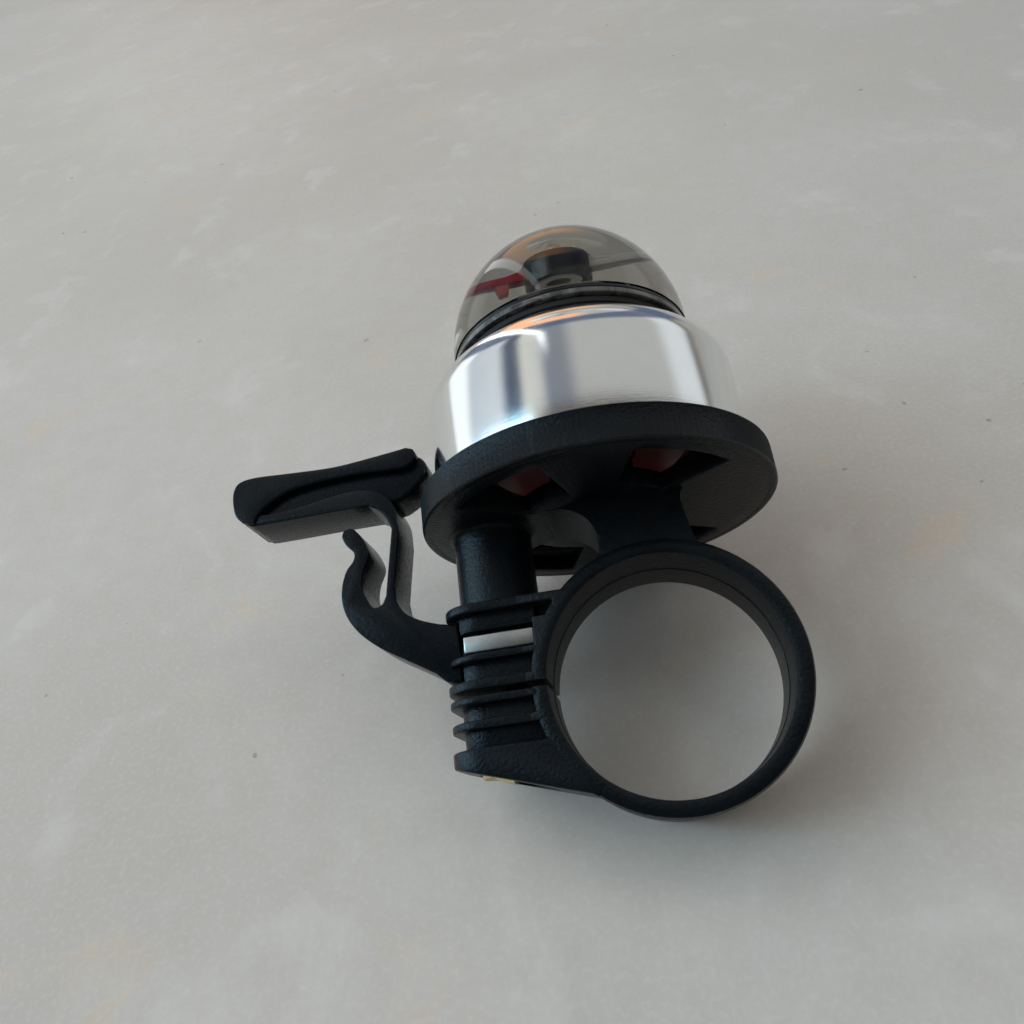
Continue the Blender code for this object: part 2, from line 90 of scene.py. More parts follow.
# ---------------------------------------------------------------- sizes of the moulding's details, in mm
PLATE_LOW = 17.4
PLATE_TOP = 19.4
RIM_TOP = 20.9
RIM_INNER_R = 17.1
RIM_RIBS = 210
RIB_DEPTH = 0.2
POST_R = 4.5
OPENING_INNER_R = 8.4
OPENING_OUTER_R = 15.7
OPENING_ANGLES = (55.0, 125.0, 235.0, 305.0)
OPENING_HALF = 19.0
NECK_RIGHT = 4.4
WINDOW_X = -8.3
WINDOW_Z = 13.4
WINDOW_R = 4.0
COLUMN_R = 4.05
EAR_LEFT = -20.7
EAR_LOWER_LEFT = -21.0
EAR_TOP = 9.2
EAR_SOLID_TOP = -4.4
SPLIT_LOW = 0.3
SPLIT_HIGH = 0.9
RIBS = ((EAR_LEFT, 8.3, EAR_TOP), (EAR_LEFT, 3.6, 4.25), (EAR_LOWER_LEFT, SPLIT_HIGH, 1.8),
        (EAR_LOWER_LEFT, -0.4, SPLIT_LOW), (EAR_LOWER_LEFT, -2.7, -1.9))
RIB_CORNER = 3.4
OVERLAP = 0.02
LEVER_HALF = 3.0
PAD_HALF = 3.3
LEAF_HALF = 0.42
LEAF_LEAN = 0.147

# ---------------------------------------------------------------- viewpoint, in mm and radians
VIEW_SPOT = (-2.627, -81.668, -13.72)
VIEW_SWING = 0.126
VIEW_LIFT = 0.388
VIEW_ROLL = 0.127


# ---------------------------------------------------------------- shader expressions
class Signal:
    """A node's output; arithmetic on it adds Math nodes."""

    def __init__(self, recipe, socket):
        self.recipe = recipe
        self.socket = socket

    def _math(self, operation, first, second):
        return self.recipe.node("ShaderNodeMath", {"operation": operation}, {0: first, 1: second})

    def __add__(self, other):
        return self._math("ADD", self, other)

    def __radd__(self, other):
        return self._math("ADD", other, self)

    def __sub__(self, other):
        return self._math("SUBTRACT", self, other)

    def __rsub__(self, other):
        return self._math("SUBTRACT", other, self)

    def __mul__(self, other):
        return self._math("MULTIPLY", self, other)

    def __rmul__(self, other):
        return self._math("MULTIPLY", other, self)

    def __truediv__(self, other):
        return self._math("DIVIDE", self, other)

    def above(self, edge, width):
        """0 below edge, 1 above edge + width."""
        settings = {"interpolation_type": "SMOOTHSTEP"}
        return self.recipe.node("ShaderNodeMapRange", settings, {0: self, 1: edge, 2: edge + width})


class Recipe:
    """One material, or the room round the bell, under construction."""

    def __init__(self, name, room=None):
        self.material = room or bpy.data.materials.new(name)
        self.material.use_nodes = True
        self.tree = self.material.node_tree
        self.shader = self.tree.nodes["Background" if room else "Principled BSDF"]
        self._place = None

    def node(self, kind, settings=None, inputs=None, output=0):
        """Add a node; its settings are set first, then its sockets' values or links."""
        made = self.tree.nodes.new(kind)
        for key, value in (settings or {}).items():
            if key == "stops":
                self._ramp(made.color_ramp, value)
            else:
                setattr(made, key, value)
        for key, value in (inputs or {}).items():
            self.feed(made.inputs[key], value)
        return Signal(self, made.outputs[output])

    def _ramp(self, ramp, stops):
        while len(ramp.elements) < len(stops):
            ramp.elements.new(0.5)
        for element, (place, colour) in zip(ramp.elements, stops):
            element.position = place
            element.color = (*colour, 1.0)

    def feed(self, socket, value):
        if isinstance(value, Signal):
            self.tree.links.new(value.socket, socket)
        elif isinstance(value, tuple) and len(value) == 3 and len(socket.default_value) == 4:
            socket.default_value = (*value, 1.0)
        else:
            socket.default_value = value

    @property
    def place(self):
        """Object coordinates in millimetres."""
        if self._place is None:
            spot = self.node("ShaderNodeTexCoord", output="Object")
            scale = {"operation": "SCALE"}
            self._place = self.node("ShaderNodeVectorMath", scale, {0: spot, "Scale": 1 / MM})
        return self._place

    def stretched(self, x, y, z):
        """Coordinates scaled differently along each axis, for a pattern that runs one way."""
        return self.node("ShaderNodeVectorMath", {"operation": "MULTIPLY"}, {0: self.place, 1: (x, y, z)})

    def noise(self, scale, detail=3.0, rough=0.5, where=None, distortion=0.0):
        inputs = {"Vector": where or self.place, "Scale": scale, "Detail": detail, "Roughness": rough,
                  "Distortion": distortion}
        return self.node("ShaderNodeTexNoise", None, inputs)

    def mix(self, factor, first, second):
        """Blend two colours."""
        return self.node("ShaderNodeMix", {"data_type": "RGBA"}, {0: factor, 6: first, 7: second}, output=2)

    def bump(self, height, distance, strength=1.0):
        """Bump in millimetres."""
        inputs = {"Height": height, "Distance": distance * MM, "Strength": strength}
        self.feed(self.shader.inputs["Normal"], self.node("ShaderNodeBump", None, inputs))

    def set(self, **values):
        for name, value in values.items():
            self.feed(self.shader.inputs[name.replace("_", " ")], value)
        return self


# ---------------------------------------------------------------- finishes
def moulded_black(name, roughness, grain, sheen, depth):
    """Black nylon: spark-eroded grain, faint scuffs and dust, edges rubbed a little lighter."""
    recipe = Recipe(name)
    fine = recipe.noise(grain, 2.0, 0.6)
    broad = recipe.noise(0.22, 4.0, 0.6)
    scuffs = recipe.noise(1.1, 5.0, 0.7, recipe.stretched(1.0, 0.5, 2.2)).above(0.6, 0.16)
    dust = recipe.noise(5.5, 1.0).above(0.74, 0.05)
    edge = recipe.node("ShaderNodeNewGeometry", output="Pointiness").above(0.53, 0.1)
    tone = recipe.mix(broad.above(0.35, 0.3), (0.0016, 0.0036, 0.0055), (0.0028, 0.0056, 0.0085))
    tone = recipe.mix(scuffs * 0.12, tone, (0.018, 0.022, 0.027))
    tone = recipe.mix(edge * 0.25, tone, (0.02, 0.026, 0.032))
    tone = recipe.mix(dust * 0.2, tone, (0.12, 0.12, 0.11))
    recipe.set(Base_Color=tone, Roughness=fine * 0.2 + broad * 0.1 + scuffs * 0.08 + (roughness - 0.16))
    recipe.shader.inputs["Specular IOR Level"].default_value = sheen
    recipe.bump(fine * 0.9 + broad * 0.1, depth, 0.8)
    return recipe.material


def polished_aluminium():
    """Spun and polished cup: faint turning lines, soft waviness and a few fine scratches."""
    recipe = Recipe("polished_aluminium")
    turning = recipe.noise(1.0, 3.0, 0.6, recipe.stretched(0.25, 0.25, 9.0))
    haze = recipe.noise(0.3, 4.0, 0.6)
    grain = recipe.noise(9.0, 2.0, 0.6)
    scratch = recipe.noise(1.6, 3.0, 0.55, recipe.stretched(0.3, 0.3, 5.0), 1.5).above(0.66, 0.05)
    tone = recipe.mix(haze, (0.82, 0.83, 0.83), (0.9, 0.9, 0.885))
    tone = recipe.mix(scratch * 0.3, tone, (0.6, 0.6, 0.6))
    recipe.set(Base_Color=tone, Roughness=grain * 0.08 + haze * 0.06 + scratch * 0.1 + 0.05)
    recipe.shader.inputs["Metallic"].default_value = 1.0
    recipe.bump(turning * 0.5 + grain * 0.35 + haze, 0.012, 0.5)
    return recipe.material


def plated(name, colour, tint, roughness):
    """Zinc plate: a passivated film that drifts in tint, with fine marks."""
    recipe = Recipe(name)
    drift = recipe.noise(0.8, 3.0, 0.6, None, 0.8)
    marks = recipe.noise(4.0, 4.0, 0.7, recipe.stretched(1.0, 3.0, 1.0))
    recipe.set(Base_Color=recipe.mix(drift.above(0.35, 0.3), colour, tint),
               Roughness=marks * 0.3 + (roughness - 0.12))
    recipe.shader.inputs["Metallic"].default_value = 1.0
    recipe.bump(marks, 0.02, 0.6)
    return recipe.material


def satin_plastic(name, colour, shade, roughness):
    """Coloured moulding with soft mottling."""
    recipe = Recipe(name)
    mottle = recipe.noise(0.5, 4.0, 0.6)
    fine = recipe.noise(6.0, 2.0)
    recipe.set(Base_Color=recipe.mix(mottle, shade, colour), Roughness=fine * 0.15 + (roughness - 0.07))
    recipe.bump(fine, 0.015, 0.6)
    return recipe.material


def clear_acrylic():
    """Smoky clear moulding with slow flow waviness."""
    recipe = Recipe("clear_acrylic")
    flow = recipe.noise(0.18, 2.0)
    recipe.set(Base_Color=recipe.mix(flow, (0.3, 0.285, 0.245), (0.38, 0.36, 0.315)),
               Roughness=recipe.noise(2.2, 3.0) * 0.03)
    recipe.shader.inputs["Transmission Weight"].default_value = 1.0
    recipe.shader.inputs["IOR"].default_value = 1.42
    recipe.bump(flow, 0.03, 0.5)
    return recipe.material


def ribbed_acrylic():
    """Skirt of the dome, drawn opaque: its moulding streaks and clouds are painted grey over a dark tone, a
    painted reflection standing in for the light seen in the clear ribbed skirt against the dark housing.
    """
    recipe = Recipe("ribbed_acrylic")
    lines = recipe.noise(1.0, 3.0, 0.6, recipe.stretched(0.9, 0.9, 0.3))
    cloud = recipe.noise(0.12, 3.0)
    # painted reflection: lighter grey streaks and a grey cloud over the dark tone stand in for light in the
    # clear skirt; the streaks also shape the bump
    tone = recipe.mix(lines.above(0.4, 0.35), (0.03, 0.031, 0.03), (0.13, 0.13, 0.122))
    recipe.set(Base_Color=recipe.mix(cloud.above(0.45, 0.2), tone, (0.09, 0.09, 0.085)),
               Roughness=lines * 0.2 + 0.06)
    recipe.shader.inputs["Coat Weight"].default_value = 0.6
    recipe.bump(lines, 0.03, 0.5)
    return recipe.material


def stone_floor():
    """Honed pale stone, seen only from its upper side."""
    recipe = Recipe("pale_stone")
    cloud = recipe.noise(0.011, 4.0, 0.55)
    blotch = recipe.noise(0.07, 4.0, 0.6, recipe.stretched(1.0, 0.8, 1.0), 0.4)
    stain = recipe.noise(0.055, 4.0, 0.65, recipe.stretched(0.8, 1.0, 1.0), 0.5)
    mottle = recipe.noise(0.22, 4.0, 0.65)
    speck = recipe.noise(1.6, 2.0)
    pit = recipe.noise(0.3, 1.0).above(0.79, 0.01)
    tone = recipe.mix(cloud.above(0.38, 0.24), (0.455, 0.45, 0.43), (0.495, 0.495, 0.478))
    tone = recipe.mix(blotch.above(0.54, 0.14) * 0.45, tone, (0.57, 0.575, 0.57))
    tone = recipe.mix(stain.above(0.6, 0.1) * 0.4, tone, (0.56, 0.46, 0.34))
    tone = recipe.mix(mottle.above(0.35, 0.35) * 0.3, tone, (0.42, 0.405, 0.38))
    tone = recipe.mix(speck.above(0.45, 0.3) * 0.2, tone, (0.66, 0.64, 0.61))
    tone = recipe.mix(pit * 0.5, tone, (0.16, 0.13, 0.11))
    recipe.set(Base_Color=tone, Roughness=blotch * 0.2 + 0.5)
    recipe.shader.inputs["Specular IOR Level"].default_value = 0.3
    recipe.bump(speck * 0.4 + mottle, 0.08, 0.25)
    clear = recipe.node("ShaderNodeBsdfTransparent")
    side = recipe.node("ShaderNodeNewGeometry", output="Backfacing")
    surface = Signal(recipe, recipe.shader.outputs[0])
    mixed = recipe.node("ShaderNodeMixShader", None, {0: side, 1: surface, 2: clear})
    recipe.tree.links.new(mixed.socket, recipe.tree.nodes["Material Output"].inputs["Surface"])
    return recipe.material


FINISH = {
    "base": moulded_black("base_moulding", 0.36, 3.0, 0.26, 0.11),
    "lever": moulded_black("lever_moulding", 0.27, 2.2, 0.22, 0.04),
    "compass_black": moulded_black("compass_black", 0.24, 2.0, 0.5, 0.03),
    "cup": polished_aluminium(),
    "steel": plated("bright_steel", (0.62, 0.62, 0.6), (0.7, 0.69, 0.66), 0.3),
    "zinc": plated("yellow_zinc", (0.78, 0.62, 0.28), (0.72, 0.66, 0.42), 0.28),
    "red": satin_plastic("red_moulding", (0.62, 0.02, 0.022), (0.48, 0.012, 0.016), 0.35),
    "white": satin_plastic("white_moulding", (0.82, 0.82, 0.8), (0.72, 0.72, 0.7), 0.35),
    "dial": satin_plastic("dial_face", (0.56, 0.56, 0.54), (0.48, 0.48, 0.47), 0.5),
    "fibre": satin_plastic("grey_fibre", (0.22, 0.2, 0.19), (0.15, 0.14, 0.13), 0.85),
    "rubber": satin_plastic("black_rubber", (0.02, 0.02, 0.02), (0.012, 0.012, 0.012), 0.75),
    "dome": clear_acrylic(),
    "skirt": ribbed_acrylic(),
}


# ---------------------------------------------------------------- mesh helpers
def piece(name, bm, finish, body="bell_body", slot=None, replaces=(), crease=32):
    """Turn a bmesh in millimetres into a finished piece that rides on a body."""
    bmesh.ops.scale(bm, verts=bm.verts, vec=(MM, MM, MM))
    mesh = bpy.data.meshes.new(name)
    bm.to_mesh(mesh)
    bm.free()
    mesh.materials.append(FINISH[finish])
    mesh.shade_smooth()
    mesh.set_sharp_from_angle(angle=math.radians(crease))
    item = bpy.data.objects.new(name, mesh)
    bpy.context.scene.collection.objects.link(item)
    if body:
        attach(item, body)
    if replaces:
        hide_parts(*replaces)
    return item


def moulded(name, bm, **more):
    """A piece of the black base moulding."""
    return piece(name, bm, "base", slot="base_moulding", **more)


def outward(bm):
    bmesh.ops.remove_doubles(bm, verts=bm.verts, dist=0.002)
    bmesh.ops.recalc_face_normals(bm, faces=bm.faces)
    return bm


def spun(profile, steps=128, centre_x=BELL_X):
    """Spin a closed (radius, height) outline once round an upright axis, the bell's own unless told."""
    bm = bmesh.new()
    verts = [bm.verts.new((radius, 0, height)) for radius, height in profile]
    edges = [bm.edges.new((verts[i - 1], verts[i])) for i in range(len(verts))]
    bmesh.ops.spin(bm, geom=verts + edges, cent=(0, 0, 0), axis=(0, 0, 1), angle=math.tau, steps=steps,
                   use_merge=True)
    outward(bm)
    bmesh.ops.translate(bm, verts=bm.verts, vec=(centre_x, 0, 0))
    return bm


def extruded(outline, low, high, along_y=False):
    """Extrude an (x, y) outline up in Z, or an (x, z) outline through Y."""
    bm = bmesh.new()
    if along_y:
        verts = [bm.verts.new((x, low, z)) for x, z in outline]
        reach = (0, high - low, 0)
    else:
        verts = [bm.verts.new((x, y, low)) for x, y in outline]
        reach = (0, 0, high - low)
    grown = bmesh.ops.extrude_face_region(bm, geom=[bm.faces.new(verts)])
    moved = [item for item in grown["geom"] if isinstance(item, bmesh.types.BMVert)]
    bmesh.ops.translate(bm, verts=moved, vec=reach)
    return outward(bm)


def rounded_edges(bm, width, segments=3, angle=40, keep=None):
    """Bevel the edges sharper than an angle; keep says which edges may be rounded."""
    sharp = [edge for edge in bm.edges if len(edge.link_faces) == 2
             and edge.calc_face_angle(0.0) > math.radians(angle) and (keep is None or keep(edge))]
    bmesh.ops.bevel(bm, geom=sharp, offset=width, offset_type="OFFSET", segments=segments, profile=0.5,
                    affect="EDGES", material=-1, clamp_overlap=True)
    return bm


def arc(centre, radius, start, end, steps):
    """Points of an arc from start to end, in degrees."""
    angles = [math.radians(start + (end - start) * i / steps) for i in range(steps + 1)]
    return [(centre[0] + radius * math.cos(a), centre[1] + radius * math.sin(a)) for a in angles]


def softened(profile, radius, steps=4):
    """Round each corner of a closed outline."""
    points = []
    for i, corner in enumerate(profile):
        here = Vector(corner)
        before, after = Vector(profile[i - 1]) - here, Vector(profile[(i + 1) % len(profile)]) - here
        if here.x < 1e-6 or before.length < 1e-6 or after.length < 1e-6:
            points.append(corner)
            continue
        reach = min(radius, before.length * 0.45, after.length * 0.45)
        start, end = here + before.normalized() * reach, here + after.normalized() * reach
        for k in range(steps + 1):
            t = k / steps
            spot = start * (1 - t) ** 2 + here * 2 * t * (1 - t) + end * t ** 2
            points.append((spot.x, spot.y))
    return points


def curve_through(points, steps=4, closed=False):
    """Catmull-Rom curve through given points."""
    count = len(points)
    spans = count if closed else count - 1
    found = []
    for i in range(spans):
        ids = [(i + k) % count if closed else min(max(i + k, 0), count - 1) for k in (-1, 0, 1, 2)]
        p0, p1, p2, p3 = (Vector(points[k]) for k in ids)
        for step in range(steps):
            t = step / steps
            spot = 0.5 * (2 * p1 + (p2 - p0) * t + (2 * p0 - 5 * p1 + 4 * p2 - p3) * t ** 2
                          + (3 * p1 - p0 - 3 * p2 + p3) * t ** 3)
            found.append(tuple(spot))
    if not closed:
        found.append(tuple(points[-1]))
    return found


# ---------------------------------------------------------------- base plate and clamp
def base_rim():
    """Upright rim of the plate, its outside cut into fine grip ribs."""
    profile = softened([(RIM_INNER_R, PLATE_LOW + 0.02), (RIM_R, PLATE_LOW), (RIM_R, RIM_TOP),
                        (RIM_INNER_R, RIM_TOP)], 0.35, 3)
    bm = spun(profile, RIM_RIBS * 2)
    for vert in bm.verts:
        flat = Vector((vert.co.x - BELL_X, vert.co.y))
        step = round(math.atan2(flat.y, flat.x) / math.tau * RIM_RIBS * 2)
        if step % 2 and flat.length > RIM_R - 0.02:
            flat *= 1 - RIB_DEPTH / RIM_R
            vert.co.x, vert.co.y = BELL_X + flat.x, flat.y
    return moulded("base_rim", bm, replaces=("clamp_base",), crease=60)


def base_plate():
    """Flat plate with its four curved openings, cut from a polar grid and thickened."""
    bm = bmesh.new()
    radii = (0.0, POST_R, OPENING_INNER_R, OPENING_OUTER_R, RIM_INNER_R + 0.5)
    verts = [bm.verts.new((radius, 0, PLATE_LOW + 0.03)) for radius in radii]
    edges = [bm.edges.new((verts[i], verts[i + 1])) for i in range(len(radii) - 1)]
    bmesh.ops.spin(bm, geom=verts + edges, cent=(0, 0, 0), axis=(0, 0, 1), angle=math.tau, steps=180,
                   use_merge=True)
    outward(bm)
    gone = []
    for face in bm.faces:
        spot = face.calc_center_median()
        turn = math.degrees(math.atan2(spot.y, spot.x)) % 360
        radius = Vector((spot.x, spot.y)).length
        near = min(abs(turn - angle) for angle in OPENING_ANGLES)
        if OPENING_INNER_R < radius < OPENING_OUTER_R and near < OPENING_HALF:
            gone.append(face)
    bmesh.ops.delete(bm, geom=gone, context="FACES")
    grown = bmesh.ops.extrude_face_region(bm, geom=list(bm.faces))
    moved = [item for item in grown["geom"] if isinstance(item, bmesh.types.BMVert)]
    bmesh.ops.translate(bm, verts=moved, vec=(0, 0, PLATE_TOP - PLATE_LOW))
    bmesh.ops.recalc_face_normals(bm, faces=bm.faces)
    rounded_edges(bm, 0.22, 2, 60)
    bmesh.ops.translate(bm, verts=bm.verts, vec=(BELL_X, 0, 0))
    return moulded("base_plate", bm)


def plate_post():
    """Hollow post in the middle of the plate, which the centre screw goes into."""
    profile = softened([(1.8, PLATE_TOP - 0.6), (POST_R + 1.2, PLATE_TOP - 0.6), (POST_R, PLATE_TOP + 1.4),
                        (POST_R, BUSH_LOW.z - 0.3), (1.8, BUSH_LOW.z - 0.3)], 0.3)
    return moulded("plate_post", spun(profile, 64))


def clamp_neck():
    """Web from the band up to the plate, with the round side of the window cut in it."""
    half = BAND_HALF - 0.4
    right = [(NECK_RIGHT + 1.9, 11.0), (NECK_RIGHT + 0.75, 11.5), (NECK_RIGHT + 0.3, 12.4),
             (NECK_RIGHT + 0.1, 13.6), (NECK_RIGHT - 0.2, 15.6), (NECK_RIGHT - 0.2, 16.6),
             (NECK_RIGHT + 0.2, PLATE_LOW + 0.05)]
    top = PLATE_LOW + 0.7
    outline = curve_through(right, 4) + [(NECK_RIGHT + 0.2, top), (WINDOW_X - 1.0, top)]
    outline += arc((WINDOW_X, WINDOW_Z), WINDOW_R, 100, -70, 22)
    outline += [(-6.2, 9.9), (-3.2, 11.8), (0.0, 12.0), (NECK_RIGHT, 11.2)]
    bm = extruded(outline, -half, half, along_y=True)
    rounded_edges(bm, 0.28, 4, 50, lambda edge: abs(edge.verts[0].co.y) > half - 0.01
                  and abs(edge.verts[1].co.y) > half - 0.01 and edge.verts[0].co.z < PLATE_LOW)
    return moulded("clamp_neck", bm)


def clamp_band():
    """Split band: a wall spun round the handlebar's axis, with a chamfered and a parted inside."""
    wall = BAND_R
    line = 0.07
    section = [(FACE_R, -BAND_HALF), (wall - 0.55, -BAND_HALF), (wall - 0.18, 0.16 - BAND_HALF),
               (wall, 0.6 - BAND_HALF), (wall, BAND_HALF - 0.6), (wall - 0.18, BAND_HALF - 0.16),
               (wall - 0.55, BAND_HALF), (FACE_R, BAND_HALF), (BORE_R + 0.06, BAND_HALF - 0.1),
               (BORE_R, BAND_HALF - 0.34), (BORE_R, 0.12), (BORE_R - line, 0.05), (BORE_R - line, -0.05),
               (BORE_R, -0.12), (BORE_R, 0.34 - BAND_HALF), (BORE_R + 0.06, 0.1 - BAND_HALF)]
    bm = bmesh.new()
    low_turn = math.asin(SPLIT_LOW / BORE_R)
    high_turn = math.asin(SPLIT_HIGH / BORE_R)
    verts = [bm.verts.new((-radius, height, 0)) for radius, height in section]
    start = bm.faces.new(verts)
    bmesh.ops.rotate(bm, verts=verts, matrix=Matrix.Rotation(high_turn, 3, "Y"))
    sweep = math.tau - (high_turn - low_turn)
    bmesh.ops.spin(bm, geom=[start], cent=(0, 0, 0), axis=(0, 1, 0), angle=sweep, steps=190)
    outward(bm)
    return moulded("clamp_band", bm, crease=28)


def ear_plan(left, half, corner, right, shift=0.0):
    """Plan outline of an ear, its left end rounded."""
    points = [(right, shift - half), (right, shift + half)]
    points += arc((left + corner, shift + half - corner), corner, 90, 180, 14)
    return points + arc((left + corner, shift + corner - half), corner, 180, 270, 14)


def slab(name, left, low, high):
    """Flat rib whose left end wraps round the screw column."""
    bm = extruded(ear_plan(left, BAND_HALF - 0.03, RIB_CORNER, -12.1), low, high)
    return moulded(name, rounded_edges(bm, 0.17, 3, 50))


def carved(bm, *cutters):
    """Subtract bmesh tools from a bmesh with Boolean modifiers, and give the result back."""
    holder = bpy.data.objects.new("carving", bpy.data.meshes.new("carving"))
    bpy.context.scene.collection.objects.link(holder)
    bm.to_mesh(holder.data)
    bm.free()
    helpers = []
    for cutter in cutters:
        helper = bpy.data.objects.new("cutter", bpy.data.meshes.new("cutter"))
        bpy.context.scene.collection.objects.link(helper)
        cutter.to_mesh(helper.data)
        cutter.free()
        modifier = holder.modifiers.new("cut", "BOOLEAN")
        modifier.object = helper
        modifier.solver = "EXACT"
        helpers.append(helper)
    evaluated = holder.evaluated_get(bpy.context.evaluated_depsgraph_get())
    result = bmesh.new()
    result.from_mesh(evaluated.to_mesh())
    evaluated.to_mesh_clear()
    for item in [holder, *helpers]:
        bpy.data.objects.remove(item)
    return result


def spine(name, outline):
    """Front-to-back block beside the band, its slots' corners filleted."""
    bm = extruded(softened(outline, 0.4), 0.015 - BAND_HALF, BAND_HALF - 0.015, along_y=True)
    bmesh.ops.dissolve_limit(bm, angle_limit=math.radians(1), verts=bm.verts, edges=bm.edges)
    return moulded(name, rounded_edges(bm, 0.14, 3, 50))


def ear_core(name, low, high):
    """Body of the ears between the ribs, bored for the screw and notched for the lever's foot."""
    bm = rounded_edges(extruded(ear_plan(EAR_LEFT + 0.7, 4.3, 2.7, -11.6, 0.42), low, high), 0.1, 2, 50)
    hole = spun([(0, low - 1), (2.2, low - 1), (2.2, high + 1), (0, high + 1)], 48, SCREW_X)
    seat = extruded([(-23.0, -3.25), (-19.2, -3.25), (-19.2, 3.25), (-23.0, 3.25)], 1.98, 8.1)
    return moulded(name, carved(bm, hole, seat))


def ear_ribs():
    for number, (left, low, high) in enumerate(RIBS, 1):
        slab(f"ear_rib_{number}", left, low, high)


def ear_blocks():
    """Blocks that join the ribs to the band, above and below its split; their stubs reach into the ribs."""
    rib_low = [low + OVERLAP for _, low, _ in RIBS]
    rib_high = [high - OVERLAP for _, _, high in RIBS]
    stub, pocket, block = -13.0, -11.75, -11.9
    upper = arc((0, 0), FACE_R, 175.5, 127, 24)
    upper += [(stub, rib_high[0]), (stub, rib_low[0]), (-9.6, rib_low[0]), (-9.6, 6.9), (pocket, 6.9),
              (pocket, rib_high[1]), (stub, rib_high[1]), (stub, rib_low[1]), (block, rib_low[1]),
              (block, rib_high[2]), (stub, rib_high[2]), (stub, SPLIT_HIGH + 0.01)]
    spine("ear_block_upper", upper)
    lower = arc((0, 0), FACE_R, 203.5, 181.5, 12)
    lower += [(stub, SPLIT_LOW - 0.01), (stub, rib_low[3]), (block, rib_low[3]),
              (-11.6, rib_high[4]), (stub, rib_high[4]), (stub, rib_low[4]),
              (-11.4, rib_low[4]), (-10.75, EAR_SOLID_TOP - 0.3)]
    spine("ear_block_lower", lower)


def ear_foot():
    """Solid lower end of the ears, its left end rounded, counterbored for the screw's head."""
    left, seat = EAR_LOWER_LEFT - 0.1, EAR_SOLID_TOP
    outline = arc((0, 0), FACE_R, 202.5, 232, 14)
    outline += [(-7.8, -9.98), (-8.4, -9.6), (left, -5.82), (left, seat)]
    bm = extruded(outline, 0.01 - BAND_HALF, BAND_HALF - 0.01, along_y=True)

    def upright_at_left(edge):
        rise = abs(edge.verts[0].co.z - edge.verts[1].co.z)
        return rise > 0.5 and max(vert.co.x for vert in edge.verts) < left + 0.1

    rounded_edges(bm, 3.2, 12, 50, upright_at_left)
    rounded_edges(bm, 0.22, 3, 50)
    hole = spun([(0, -14), (3.9, -14), (3.9, -4.6), (0, -4.6)], 64, SCREW_X)
    moulded("ear_foot", carved(bm, hole))


def ear_cores():
    ear_core("core_lower", EAR_SOLID_TOP - 0.1, SPLIT_LOW - OVERLAP)
    ear_core("core_middle", SPLIT_HIGH + OVERLAP, NUT_LOW.z - 0.3)
    ear_core("core_upper", NUT_HIGH.z + 0.3, EAR_TOP - 0.1)


def screw_column():
    """Hollow column from the ears up to the plate, flared where it meets the plate."""
    top = PLATE_LOW + 0.3
    flare = arc((COLUMN_R + 0.7, top - 1.0), 0.7, 180, 90, 6)
    column = [(2.25, EAR_TOP - 0.2), (COLUMN_R, EAR_TOP - 0.2), *flare, (COLUMN_R + 0.7, top), (2.25, top)]
    moulded("screw_column", spun(column, 96, SCREW_X))


def nut_slot_rear_wall():
    """Wall that closes the nut's slot at the rear."""
    rear = [(-18.7, 3.66), (-11.7, 3.66), (-11.7, 4.7), (-17.9, 4.7)]
    wall = rounded_edges(extruded(rear, 4.0, 7.0), 0.15, 2, 50)
    moulded("nut_slot_rear_wall", wall)


def gate_nub():
    """Stub left where the moulding's gate was snapped off."""
    bm = bmesh.new()
    bmesh.ops.create_cone(bm, cap_ends=True, segments=20, radius1=0.55, radius2=0.38, depth=0.5)
    bmesh.ops.rotate(bm, verts=bm.verts, matrix=Matrix.Rotation(math.radians(180), 3, "X"))
    rounded_edges(bm, 0.1, 2, 50)
    turn = math.radians(-7)
    spot = Vector((math.sin(turn), 0, -math.cos(turn))) * (BAND_R - 0.26)
    bmesh.ops.rotate(bm, verts=bm.verts, matrix=Matrix.Rotation(-turn, 3, "Y"))
    bmesh.ops.translate(bm, verts=bm.verts, vec=spot)
    return moulded("gate_nub", bm)


# ---------------------------------------------------------------- fasteners
def thread(core, crest, low, high, pitch):
    """Outline of a screw thread's teeth, from low to high."""
    count = int((high - low) / pitch)
    points = []
    for i in range(count):
        base = low + i * pitch
        points += [(core, base + pitch * 0.1), (crest, base + pitch * 0.45), (crest, base + pitch * 0.6)]
    return points


def clamp_screw():
    """Pan head with a cross recess, its shank threaded up to the tip."""
    low, head_r = SCREW_LOW.z, (SCREW_HIGH.x - SCREW_LOW.x) / 2
    seat = low + 1.9
    dome = [(0, low)] + arc((0, low + 3.9), 3.9, -80, -42, 5)
    dome = [(0, low)] + [(x, z) for x, z in dome[1:] if x < head_r - 0.4]
    shank = [(head_r - 0.08, low + 0.75), (head_r, low + 1.1), (head_r, seat - 0.15), (head_r - 0.15, seat),
             (1.75, seat)]
    teeth = thread(1.62, 1.9, seat + 0.8, SCREW_HIGH.z - 0.6, 0.7)
    tip = [(1.5, SCREW_HIGH.z - 0.3), (1.2, SCREW_HIGH.z), (0, SCREW_HIGH.z)]
    bm = spun(dome + shank + teeth + tip, 56, SCREW_X)
    arms = []
    for long_x, long_y in ((2.0, 0.42), (0.42, 2.0)):
        outline = [(SCREW_X - long_x, -long_y), (SCREW_X + long_x, -long_y), (SCREW_X + long_x, long_y),
                   (SCREW_X - long_x, long_y)]
        arms.append(extruded(outline, low - 1, low + 1.25))
    return piece("clamp_screw_detail", carved(bm, *arms), "zinc", "screw", "yellow_zinc", ("clamp_screw",))


